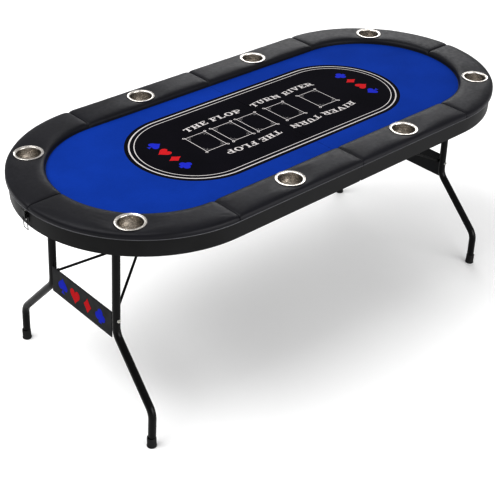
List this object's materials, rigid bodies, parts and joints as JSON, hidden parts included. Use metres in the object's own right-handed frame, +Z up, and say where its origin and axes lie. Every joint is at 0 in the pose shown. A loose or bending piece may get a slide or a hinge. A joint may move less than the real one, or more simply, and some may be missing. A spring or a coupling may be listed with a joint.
{
  "type": "folding card table",
  "caption": "Racetrack-shaped folding card table with padded rail, cup holders, printed felt, folding tube legs and hinged centre",
  "frame": {"origin": "centre of the footprint on the floor, under the fold line", "axes": "+X along the long axis towards the end with the catch, +Z up"},
  "size_m": [1.8554, 0.842, 0.7516],
  "materials": {
    "board_wood": "raw plywood, sealed",
    "felt": "short-napped blue cloth with a black printed zone",
    "padded_vinyl": "black grained leather-look vinyl over foam",
    "black_apron": "black laminate, satin",
    "stainless_steel": "bright pressed stainless steel",
    "black_steel": "black enamel",
    "zinc_steel": "bright zinc plating",
    "black_tube": "gloss black powder coat",
    "grey_sheet": "satin charcoal paint",
    "foot_rubber": "moulded black rubber"
  },
  "bodies": {
    "left_half": {"left_board": "board_wood", "left_felt": "felt", "left_rail_base": "board_wood", "left_pad_near": "padded_vinyl", "left_pad_far": "padded_vinyl", "left_pad_end_near": "padded_vinyl", "left_pad_end_far": "padded_vinyl", "left_apron": "black_apron", "left_beam": "board_wood", "left_cups": "stainless_steel", "left_leg_brackets": "black_steel", "left_arm_bracket": "zinc_steel", "left_bracket_screws": "zinc_steel", "left_hinge_leaves": "zinc_steel", "left_hinge_screws": "zinc_steel", "latch_base": "black_steel", "latch_screws": "zinc_steel"},
    "right_half": {"right_board": "board_wood", "right_felt": "felt", "right_rail_base": "board_wood", "right_pad_near": "padded_vinyl", "right_pad_far": "padded_vinyl", "right_pad_end_near": "padded_vinyl", "right_pad_end_far": "padded_vinyl", "right_apron": "black_apron", "right_beam": "board_wood", "right_cups": "stainless_steel", "right_leg_brackets": "black_steel", "right_arm_bracket": "zinc_steel", "right_bracket_screws": "zinc_steel", "right_hinge_leaves": "zinc_steel", "right_hinge_screws": "zinc_steel", "latch_catch": "black_steel", "catch_screws": "zinc_steel"},
    "hinge_link": {"hinge_links": "zinc_steel", "hinge_pins": "zinc_steel"},
    "left_leg_frame": {"left_cross_tube": "black_tube", "left_leg_near": "black_tube", "left_leg_far": "black_tube", "left_leg_panel": "grey_sheet", "left_feet": "foot_rubber", "left_brace_bolts": "zinc_steel"},
    "right_leg_frame": {"right_cross_tube": "black_tube", "right_leg_near": "black_tube", "right_leg_far": "black_tube", "right_leg_panel": "grey_sheet", "right_feet": "foot_rubber", "right_brace_bolts": "zinc_steel"},
    "left_rods": {"left_brace_rods": "black_steel"},
    "right_rods": {"right_brace_rods": "black_steel"},
    "left_arm": {"left_brace_arm": "black_steel"},
    "right_arm": {"right_brace_arm": "black_steel"},
    "lever": {"latch_lever": "black_steel"},
    "loop": {"latch_loop": "black_steel"}
  },
  "joints": [
    {"name": "fold_lower", "type": "hinge", "parent": "left_half", "child": "hinge_link", "pos_m": [-0.006, 0, 0.6795], "axis": [0, 1, 0], "range_deg": [0, 90]},
    {"name": "fold_upper", "type": "hinge", "parent": "hinge_link", "child": "right_half", "pos_m": [0.006, 0, 0.6795], "axis": [0, 1, 0], "range_deg": [0, 90]},
    {"name": "left_leg_fold", "type": "hinge", "parent": "left_half", "child": "left_leg_frame", "pos_m": [-0.746, 0, 0.7], "axis": [0, -1, 0], "range_deg": [0, 92]},
    {"name": "left_rods_turn", "type": "hinge", "parent": "left_leg_frame", "child": "left_rods", "pos_m": [-0.76103, 0, 0.36904], "axis": [0, 1, 0], "range_deg": [0, 116.37]},
    {"name": "left_arm_turn", "type": "hinge", "parent": "left_half", "child": "left_arm", "pos_m": [-0.4451, 0, 0.704], "axis": [0, -1, 0], "range_deg": [0, 111.07]},
    {"name": "right_leg_fold", "type": "hinge", "parent": "right_half", "child": "right_leg_frame", "pos_m": [0.746, 0, 0.7], "axis": [0, 1, 0], "range_deg": [0, 92]},
    {"name": "right_rods_turn", "type": "hinge", "parent": "right_leg_frame", "child": "right_rods", "pos_m": [0.76103, 0, 0.36904], "axis": [0, -1, 0], "range_deg": [0, 116.37]},
    {"name": "right_arm_turn", "type": "hinge", "parent": "right_half", "child": "right_arm", "pos_m": [0.4451, 0, 0.704], "axis": [0, 1, 0], "range_deg": [0, 111.07]},
    {"name": "latch_open", "type": "hinge", "parent": "left_half", "child": "lever", "pos_m": [-0.92301, 0.02027, 0.704], "axis": [-0.0483, -0.9988, 0], "range_deg": [0, 100]},
    {"name": "loop_hang", "type": "hinge", "parent": "lever", "child": "loop", "pos_m": [-0.92301, 0.02027, 0.7106], "axis": [0.0483, 0.9988, 0], "range_deg": [0, 100.2]}
  ],
  "couplings": [
    {"joint": "left_rods_turn", "follows": "left_leg_fold", "ratio": 1.2627},
    {"joint": "left_arm_turn", "follows": "left_leg_fold", "ratio": 1.2051},
    {"joint": "right_rods_turn", "follows": "right_leg_fold", "ratio": 1.2627},
    {"joint": "right_arm_turn", "follows": "right_leg_fold", "ratio": 1.2051},
    {"joint": "loop_hang", "follows": "latch_open", "ratio": 1}
  ]
}
